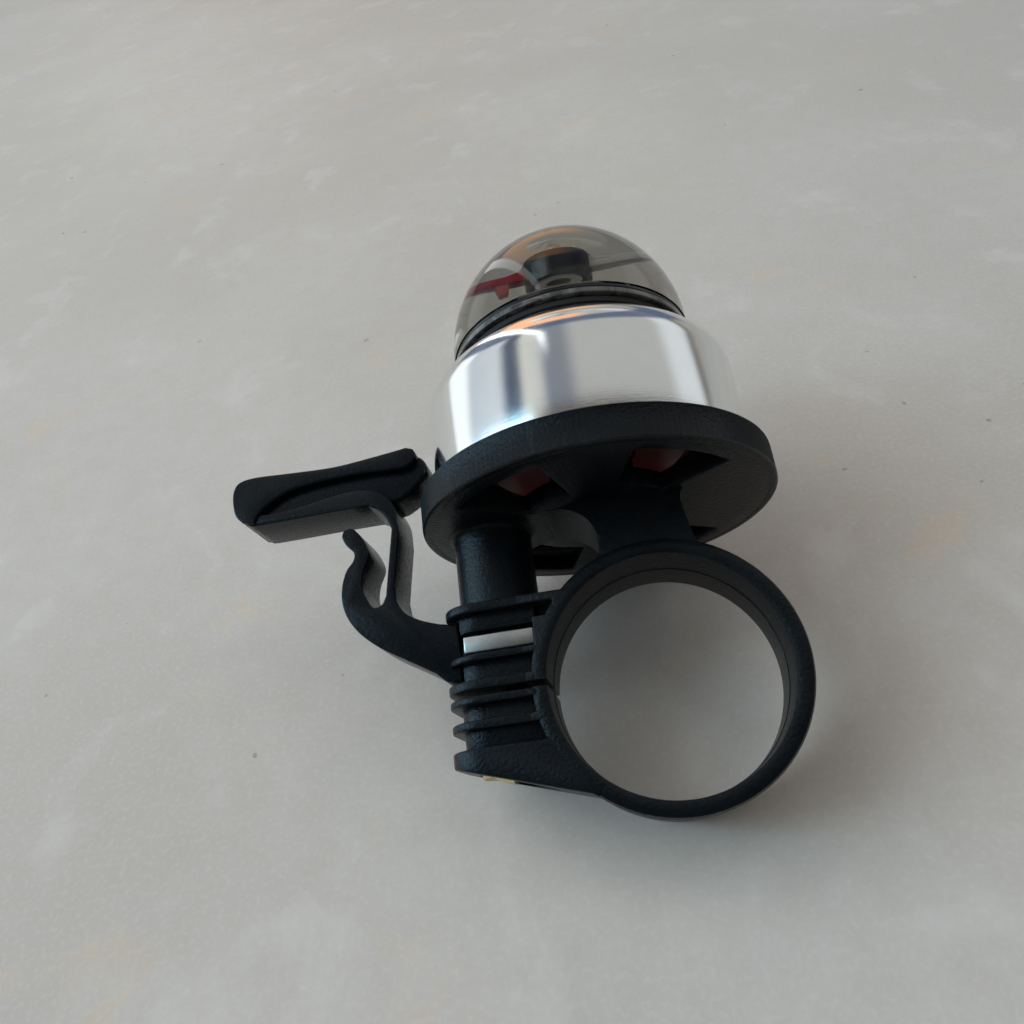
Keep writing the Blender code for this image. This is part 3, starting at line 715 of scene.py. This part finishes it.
def clamp_nut():
    """Square nut, its corners eased, with a threaded hole."""
    half = (NUT_HIGH.x - NUT_LOW.x) / 2
    square = [(SCREW_X - half, -half), (SCREW_X + half, -half), (SCREW_X + half, half),
              (SCREW_X - half, half)]
    bm = rounded_edges(extruded(square, NUT_LOW.z, NUT_HIGH.z), 0.16, 3, 50)
    low, high, bore = NUT_LOW.z - 1, NUT_HIGH.z + 1, 2.15
    hole = spun([(0, low), (bore, low), (bore, high), (0, high)], 40, SCREW_X)
    return piece("clamp_nut_detail", carved(bm, hole), "steel", slot="bright_steel",
                 replaces=("clamp_nut",))


def clamp_washer():
    low, high = size_of("clamp_washer")
    profile = softened([(2.2, low.z), (3.55, low.z), (3.55, high.z), (2.2, high.z)], 0.12)
    return piece("clamp_washer_detail", spun(profile, 56, SCREW_X), "steel", slot="bright_steel",
                 replaces=("clamp_washer",))


# ---------------------------------------------------------------- bell
def bell_cup():
    """Thin spun cup: upright wall, round shoulder, rolled lower edge."""
    shoulder, wall, top = 4.4, 0.9, CUP_HIGH.z
    corner = (CUP_R - shoulder, top - shoulder)
    outside = [(CUP_R - 0.3, CUP_LOW.z), (CUP_R - 0.08, CUP_LOW.z + 0.1), (CUP_R, CUP_LOW.z + 0.35)]
    outside += arc(corner, shoulder, 0, 90, 22)
    inside = [(2.1, top), (2.0, top - 0.1), (2.0, top - wall)] + arc(corner, shoulder - wall, 90, 0, 16)
    inside += [(CUP_R - wall, CUP_LOW.z + 0.3), (CUP_R - wall + 0.12, CUP_LOW.z + 0.05)]
    return piece("bell_cup_polished", spun(outside + inside, 192), "cup", slot="polished_aluminium",
                 replaces=("bell_cup",))


def cup_mounting():
    """Red spool under the crown, the washers above it and the slotted screw."""
    low, high, flange = BUSH_LOW.z, BUSH_HIGH.z, (BUSH_HIGH.x - BUSH_LOW.x) / 2
    sleeve, roof = POST_R + 0.3, 27.3
    bush = softened([(1.8, roof), (sleeve, roof), (sleeve, low), (flange, low), (flange, low + 1.5),
                     (6.3, low + 1.5), (5.7, high), (1.8, high)], 0.3)
    piece("cup_bush_detail", spun(bush, 96), "red", slot="red_moulding", replaces=("cup_bush",))
    washers = (("crown_washer", "fibre", "grey_fibre"), ("spring_washer", "steel", "bright_steel"))
    for node, finish, slot in washers:
        bottom, top = size_of(node)
        outer = (top.x - bottom.x) / 2
        ring = softened([(1.8, bottom.z), (outer, bottom.z), (outer, top.z), (1.8, top.z)], 0.12)
        piece(node + "_detail", spun(ring, 64), finish, slot=slot, replaces=(node,))
    bottom, top = size_of("centre_screw")
    seat = top.z - 1.5
    teeth = thread(1.2, 1.5, bottom.z + 0.8, 26.6, 1.1)
    profile = [(0, bottom.z), (0.5, bottom.z)] + teeth + [(1.5, 27.0), (1.5, seat), (2.7, seat),
               (2.8, seat + 0.15), (2.75, seat + 0.8), (2.1, seat + 1.4), (0, top.z)]
    reach, half = 3, 0.35
    slot_cut = extruded([(BELL_X - reach, -half), (BELL_X + reach, -half), (BELL_X + reach, half),
                         (BELL_X - reach, half)], seat + 0.8, seat + 3)
    piece("centre_screw_detail", carved(spun(profile, 48), slot_cut), "steel", slot="bright_steel",
          replaces=("centre_screw",))


# ---------------------------------------------------------------- compass
def compass_case():
    """Black housing with its hub and lip, and the rubber seal."""
    low, hub_top, floor = HOUSING_LOW.z, HOUSING_HIGH.z, DIAL_LOW.z - 0.3
    flange, body, hub = (HOUSING_HIGH.x - HOUSING_LOW.x) / 2, 11.6, 4.2
    profile = softened([(6.4, low), (flange, low), (flange, low + 0.5), (body, low + 0.5),
                        (body, floor - 0.55), (DOME_R - 0.1, floor - 0.55), (DOME_R - 0.1, floor - 0.03),
                        (hub, floor),
                        (hub, hub_top), (0, hub_top), (0, hub_top - 1), (hub - 0.9, hub_top - 1),
                        (hub - 0.9, floor - 1), (6.4, floor - 1)], 0.15)
    piece("compass_housing_detail", spun(profile, 128), "compass_black", slot="compass_black",
          replaces=("compass_housing",))
    bottom, high = size_of("dome_seal")
    ring = softened([(body + 0.1, bottom.z - 0.2), (flange, bottom.z - 0.2), (flange, high.z + 0.2),
                     (body + 0.1, high.z + 0.2)], 0.2)
    piece("dome_seal_detail", spun(ring, 128), "rubber", slot="black_rubber", replaces=("dome_seal",))


def dome():
    """Clear dome, its liquid filling taken as one body with it, over a ribbed skirt."""
    low, top, spring = DOME_LOW.z, DOME_HIGH.z, 38.2
    rise, floor = top - spring, DIAL_LOW.z - 0.29
    outside = [(r * DOME_R, spring + z * rise) for r, z in arc((0, 0), 1, 0, 90, 44)]
    bm = spun([(0, floor), (DOME_R, floor)] + outside, 144)
    piece("compass_dome_clear", bm, "dome", slot="clear_acrylic", replaces=("compass_dome",), crease=50)
    wall = softened([(12.0, low), (DOME_R, low), (DOME_R, floor - 0.6), (12.0, floor - 0.6)], 0.12)
    piece("dome_skirt", spun(wall, 160), "skirt", slot="clear_acrylic")


def dial():
    """Printed disc with degree ticks and the four points' letters."""
    low, high = DIAL_LOW, DIAL_HIGH
    outer, top = (high.x - low.x) / 2, high.z
    profile = softened([(4.5, low.z), (outer, low.z), (outer, top), (4.5, top)], 0.1)
    piece("compass_dial_detail", spun(profile, 96), "dial", slot="dial_face", replaces=("compass_dial",))
    for index in range(36):
        turn = math.radians(index * 10)
        length = 1.5 if index % 3 == 0 else 0.8
        half = 0.14 if index % 3 == 0 else 0.08
        tick = [(outer - 0.5 - length, -half), (outer - 0.5, -half), (outer - 0.5, half),
                (outer - 0.5 - length, half)]
        bm = extruded(tick, top - 0.02, top + 0.05)
        bmesh.ops.rotate(bm, verts=bm.verts, matrix=Matrix.Rotation(turn, 3, "Z"))
        bmesh.ops.translate(bm, verts=bm.verts, vec=(BELL_X, 0, 0))
        piece(f"dial_tick_{index:02d}", bm, "compass_black", slot="compass_black")
    for letter, turn in (("N", 180), ("E", 90), ("S", 0), ("W", 270)):
        dial_letter(letter, math.radians(turn), top, outer - 3.6)


def dial_letter(letter, turn, top, radius):
    curve = bpy.data.curves.new("letter_curve", "FONT")
    curve.body = letter
    curve.size = 2.2
    curve.extrude = 0.04
    curve.align_x = "CENTER"
    curve.align_y = "CENTER"
    text = bpy.data.objects.new("letter_curve", curve)
    bpy.context.scene.collection.objects.link(text)
    evaluated = text.evaluated_get(bpy.context.evaluated_depsgraph_get())
    bm = bmesh.new()
    bm.from_mesh(evaluated.to_mesh())
    evaluated.to_mesh_clear()
    bpy.data.objects.remove(text)
    bmesh.ops.remove_doubles(bm, verts=bm.verts, dist=0.0005)
    bmesh.ops.rotate(bm, verts=bm.verts, matrix=Matrix.Rotation(turn - math.radians(90), 3, "Z"))
    spot = (BELL_X + radius * math.cos(turn), radius * math.sin(turn), top + 0.03)
    bmesh.ops.translate(bm, verts=bm.verts, vec=spot)
    bmesh.ops.recalc_face_normals(bm, faces=bm.faces)
    return piece(f"dial_letter_{letter}", bm, "compass_black", slot="compass_black")


def needle_half(node, side, finish, slot):
    """One arm of the pointer with its half of the raised cap."""
    reach, top, hub = 9.6, NEEDLE_Z + 0.6, (FLOAT_HIGH.x - FLOAT_LOW.x) / 2
    plan = [(BELL_X + side * x, y) for x, y in ((hub - 0.3, -0.6), (reach * 0.85, -0.45), (reach, 0),
                                                (reach * 0.85, 0.45), (hub - 0.3, 0.6))]
    bm = rounded_edges(extruded(plan, NEEDLE_Z, top), 0.12, 2, 40)
    piece(node + "_detail", bm, finish, "compass_needle", slot, (node,))
    cap = FLOAT_HIGH.z
    bridge = ((hub - 0.2, top - 0.1), (hub + 1.6, top - 0.1), (hub + 0.2, cap - 0.9), (1.5, cap + 0.1),
              (0.6, cap + 0.1), (0.6, cap - 0.1), (2.1, cap - 0.4))
    bridge = softened([(BELL_X + side * x, z) for x, z in bridge], 0.15)
    bm = rounded_edges(extruded(bridge, -0.6, 0.6, along_y=True), 0.1, 2, 50)
    piece(node + "_bridge", bm, finish, "compass_needle", slot)
    if side < 0:
        fin = [(BELL_X - hub - 2.2, NEEDLE_Z + 0.1), (BELL_X - hub - 2.0, NEEDLE_Z - 0.8),
               (BELL_X - hub - 1.3, NEEDLE_Z - 0.8), (BELL_X - hub - 1.1, NEEDLE_Z + 0.1)]
        bm = rounded_edges(extruded(fin, -0.45, 0.45, along_y=True), 0.1, 2, 50)
        piece("needle_balance_tab", bm, finish, "compass_needle", slot)


def needle():
    """Red and white pointer on a black float, with magnet, jewel and pivot pin."""
    needle_half("needle_north", -1, "red", "red_moulding")
    needle_half("needle_south", 1, "white", "white_moulding")
    low, cap, outer = FLOAT_LOW.z, FLOAT_HIGH.z, (FLOAT_HIGH.x - FLOAT_LOW.x) / 2
    shell = softened([(2.1, low), (outer, low), (outer, NEEDLE_Z + 0.9), (2.3, cap - 0.3), (1.1, cap - 0.1),
                      (1.1, cap - 0.8), (1.9, NEEDLE_Z + 0.9), (2.1, NEEDLE_Z + 0.4)], 0.3)
    piece("needle_float_detail", spun(shell, 64), "compass_black", "compass_needle", "compass_black",
          ("needle_float",))
    bottom, high = size_of("needle_magnet")
    ring = softened([(0.9, bottom.z), (1.8, bottom.z), (1.8, high.z), (0.9, high.z)], 0.15)
    piece("needle_magnet_detail", spun(ring, 48), "steel", "compass_needle", "bright_steel",
          ("needle_magnet",))
    bottom, high = size_of("needle_jewel")
    cone = softened([(0, bottom.z), (0.8, bottom.z), (0.8, high.z - 0.4), (0.4, high.z), (0, high.z)], 0.12)
    piece("needle_jewel_detail", spun(cone, 40), "steel", "compass_needle", "bright_steel",
          ("needle_jewel",))
    bottom, high = size_of("pivot_pin")
    pin = softened([(0, bottom.z), (1.5, bottom.z), (1.5, bottom.z + 0.9), (0.45, bottom.z + 1.3),
                    (0.45, high.z - 0.8), (0, high.z)], 0.1)
    piece("pivot_pin_detail", spun(pin, 40), "steel", slot="bright_steel", replaces=("pivot_pin",))


# ---------------------------------------------------------------- lever
def in_side_face(edge):
    """Whether an edge of an extrusion through Y lies in one of its two side faces."""
    return abs(edge.verts[0].co.y - edge.verts[1].co.y) < 0.01


def leaf_side(offset, heights):
    """Points of the leaning leaf, an offset from its middle, at the given heights."""
    return [(PIVOT.x + LEAF_LEAN * (z - PIVOT.z) + offset, z) for z in heights]


def lever_strip():
    """Root arm, stop finger, leaf and the pad's lower plate: one springy strip."""
    finger = [(-28.3, 11.5), (-28.95, 13.2), (-28.75, 15.0), (-28.05, 16.7), (-28.4, 18.1), (-29.0, 19.2),
              (-29.7, 20.0), (-30.5, 20.0), (-30.9, 19.3), (-30.5, 18.3), (-29.7, 17.3), (-29.8, 16.4),
              (-30.6, 15.4), (-31.1, 13.9), (-31.2, 12.2), (-30.7, 10.4), (-29.4, 8.5), (-27.3, 6.7),
              (-24.4, 4.9), (-22.0, 3.4)]
    belly = [(-42.1, 23.3), (-41.3, 22.5), (-39.5, 22.3), (-29.2, 22.3), (-27.6, 22.1), (-26.5, 21.3),
             (-25.8, 20.1)]
    outline = curve_through(belly, 4)[:-1]
    outline += leaf_side(-LEAF_HALF, (19.2, 18, 17, 16, 15, 14, 13))
    outline += curve_through([(-26.5, 12.1), (-26.95, 11.25), (-27.75, 11.0), (-28.3, 11.5)], 3)[:-1]
    outline += curve_through(finger, 4)
    outline += [(-20.9, 2.35), (-19.45, 2.35), (-19.45, 7.85)]
    outline += curve_through([(-21.4, 8.3), (-23.2, 9.0), (-24.7, 10.0), (-25.45, 11.3)], 4)
    outline += leaf_side(LEAF_HALF, (12.6, 13.5, 14.5, 15.5, 16.5, 17.5, 18.6))
    ridge = [(-24.75, 20.2), (-24.9, 21.3), (-25.6, 22.8), (-27.0, 23.9), (-29.0, 24.35), (-31.5, 24.2),
             (-35.0, 23.7), (-38.5, 23.4), (-41.4, 23.7)]
    outline += curve_through(ridge, 4)
    bm = extruded(outline, -LEVER_HALF, LEVER_HALF, along_y=True)
    rounded_edges(bm, 0.2, 3, 50, in_side_face)
    item = piece("lever_strip", bm, "lever", None, "lever_moulding", ("lever_root", "thumb_lever"))
    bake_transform(item)
    return item


def lever_pad():
    """Thumb pad: a thick curved top rail over a thinner web that ends in the striking nose."""
    top = [(-23.2, 28.2), (-27.0, 27.8), (-31.5, 27.5), (-36.5, 27.75), (-40.4, 28.0)]
    left = [(-42.3, 27.7), (-43.0, 26.7), (-43.05, 25.2), (-42.7, 23.7), (-41.7, 22.6)]
    belly = [(-40.6, 22.5), (-40.0, 23.6), (-38.4, 24.8), (-36.0, 25.7), (-32.0, 26.1), (-28.0, 26.1),
             (-25.0, 25.9), (-23.5, 25.9)]
    nose = [(-22.6, 26.3), (-22.15, 27.1), (-22.45, 27.9)]
    outline = curve_through(top + left, 5)[:-1] + curve_through(belly + nose, 5)
    bm = extruded(outline, -PAD_HALF, PAD_HALF, along_y=True)
    piece("pad_rail", rounded_edges(bm, 0.35, 4, 50, in_side_face), "lever", "lever", "lever_moulding")
    web = [(-23.6, 27.6), (-22.3, 27.5), (-21.55, 26.8), (-21.35, 25.7), (-21.7, 24.7), (-22.5, 23.8),
           (-23.7, 22.95), (-25.2, 22.35), (-28.0, 22.6), (-33.0, 22.6), (-39.0, 22.6), (-41.2, 22.9),
           (-42.2, 24.2), (-42.3, 26.2), (-41.0, 27.4), (-36.0, 27.2), (-29.0, 27.2)]
    bm = extruded(curve_through(web, 4, closed=True), 1.0 - PAD_HALF, PAD_HALF - 1.0, along_y=True)
    piece("pad_web", rounded_edges(bm, 0.5, 4, 40, in_side_face), "lever", "lever", "lever_moulding")


# ---------------------------------------------------------------- stage, lights and camera
def stage():
    """Pale stone slab that the bell leans on: it touches the rim and the band behind them."""
    tilt = math.atan2(RIM_R - BAND_HALF, PLATE_LOW + BAND_R)
    up = Vector((0, -math.cos(tilt), math.sin(tilt)))
    contact = Vector((0, RIM_R, PLATE_LOW)) * MM
    bm = bmesh.new()
    bmesh.ops.create_grid(bm, x_segments=8, y_segments=8, size=1.6)
    mesh = bpy.data.meshes.new("stone_slab")
    bm.to_mesh(mesh)
    bm.free()
    mesh.materials.append(stone_floor())
    slab_object = bpy.data.objects.new("stone_slab", mesh)
    slab_object.rotation_mode = "QUATERNION"
    slab_object.rotation_quaternion = up.to_track_quat("Z", "Y")
    slab_object.location = contact - up * 0.0004
    bpy.context.scene.collection.objects.link(slab_object)


def soft_light(name, kind, spot, energy, colour, aim=(-0.008, 0, 0.02)):
    """Lamp aimed at the bell that leaves the mirror images to the room."""
    light = bpy.data.lights.new(name, kind)
    light.energy = energy
    light.color = colour
    item = bpy.data.objects.new(name, light)
    item.location = spot
    item.rotation_mode = "QUATERNION"
    item.rotation_quaternion = (Vector(aim) - Vector(spot)).to_track_quat("-Z", "Y")
    item.visible_glossy = False
    bpy.context.scene.collection.objects.link(item)
    return light


def lights():
    """Broad daylight and a window at the left, and a warm fill from the front."""
    daylight = soft_light("daylight", "SUN", (-0.95, -0.8, 0.5), 0.5, (1.0, 0.98, 0.95))
    daylight.angle = math.radians(60)
    fill = soft_light("fill", "SUN", (0.15, -1.0, 0.1), 0.72, (1.0, 0.88, 0.76))
    fill.angle = math.radians(100)
    window = soft_light("window", "AREA", (-0.5, -0.4, 0.3), 1.6, (1.0, 0.97, 0.92))
    window.shape = "RECTANGLE"
    window.size, window.size_y = 0.4, 0.6


def room():
    """Room mirrored in the bell: bright window low on the left, pale wall on the right, beam above."""
    world = bpy.data.worlds.new("room")
    bpy.context.scene.world = world
    recipe = Recipe("room", world)
    way = recipe.node("ShaderNodeTexCoord", output="Generated")
    x, y, z = (recipe.node("ShaderNodeSeparateXYZ", None, {0: way}, output=axis) for axis in "XYZ")
    turn = recipe.node("ShaderNodeMath", {"operation": "ARCTAN2"}, {0: x, 1: y * -1.0}) / math.tau + 0.5
    # each wall's direction, in degrees to the right of straight ahead, and its colour
    walls = ((-180, (0.2, 0.19, 0.17)), (-113, (0.2, 0.2, 0.19)), (-105, (0.52, 0.55, 0.56)),
             (-86, (0.52, 0.55, 0.56)), (-80, (0.27, 0.3, 0.33)), (-54, (0.32, 0.345, 0.37)),
             (-47, (0.035, 0.045, 0.07)), (-39, (0.05, 0.06, 0.085)), (-34, (0.33, 0.335, 0.31)),
             (-23, (0.29, 0.295, 0.285)), (-17, (0.1, 0.115, 0.14)), (-4, (0.115, 0.125, 0.14)),
             (5, (0.22, 0.225, 0.22)), (66, (0.22, 0.225, 0.22)), (75, (0.33, 0.35, 0.36)),
             (91, (0.34, 0.36, 0.37)), (97, (0.06, 0.06, 0.06)), (104, (0.18, 0.17, 0.15)),
             (180, (0.2, 0.19, 0.17)))
    stops = [(angle / 360 + 0.5, colour) for angle, colour in walls]
    tone = recipe.node("ShaderNodeValToRGB", {"stops": stops}, {0: turn})
    # overhead: a dark beam, then warm wood to the left of the highest point
    beam = z.above(0.72, 0.06) * (1.0 - z.above(0.9, 0.02))
    tone = recipe.mix(beam * 0.9, tone, (0.045, 0.06, 0.1))
    wood = z.above(0.9, 0.02) * (1.0 - z.above(0.972, 0.012)) * (1.0 - x.above(0.02, 0.2))
    tone = recipe.mix(wood, tone, (0.55, 0.3, 0.17))
    # low down: dark furniture ahead and to the right, the bright window on the left
    furniture = (1.0 - z.above(0.24, 0.05)) * turn.above(0.4, 0.05)
    tone = recipe.mix(furniture, tone, (0.06, 0.054, 0.047))
    left = turn.above(0.17, 0.03) * (1.0 - turn.above(0.385, 0.04))
    tone = recipe.mix((1.0 - z.above(0.2, 0.09)) * left, tone, (1.3, 2.25, 2.9))
    # a bright gap that leans over from the left
    lean = x / z
    gap = lean.above(-0.52, 0.03) * (1.0 - lean.above(-0.4, 0.03)) * z.above(0.5, 0.1)
    tone = recipe.mix(gap, tone, (0.9, 0.92, 0.95))
    tone = recipe.mix(z.above(-0.12, 0.35), (0.02, 0.02, 0.02), tone)
    recipe.feed(recipe.shader.inputs["Color"], tone)
    recipe.shader.inputs["Strength"].default_value = 2.1


def camera():
    """View from below the plate, square to the band, a little to its right and rolled."""
    lens = bpy.data.cameras.new("view_lens")
    lens.sensor_width = 36.0
    lens.lens = 29.34
    lens.clip_start = 0.005
    lens.clip_end = 10.0
    item = bpy.data.objects.new("view", lens)
    place = Matrix.Translation(Vector(VIEW_SPOT) * MM)
    for angle, axis in ((VIEW_SWING, "Z"), (VIEW_LIFT, "X"), (VIEW_ROLL, "Y"), (math.radians(90), "X")):
        place = place @ Matrix.Rotation(angle, 4, axis)
    item.matrix_world = place
    bpy.context.scene.collection.objects.link(item)
    bpy.context.scene.camera = item


camera()
stage()
lights()
room()
base_rim()
base_plate()
plate_post()
clamp_neck()
clamp_band()
ear_ribs()
ear_blocks()
ear_foot()
ear_cores()
screw_column()
nut_slot_rear_wall()
gate_nub()
clamp_screw()
clamp_nut()
clamp_washer()
bell_cup()
cup_mounting()
compass_case()
dome()
dial()
needle()
lever_strip()
lever_pad()
bpy.context.scene.view_settings.view_transform = "Standard"

bpy.context.view_layer.update()
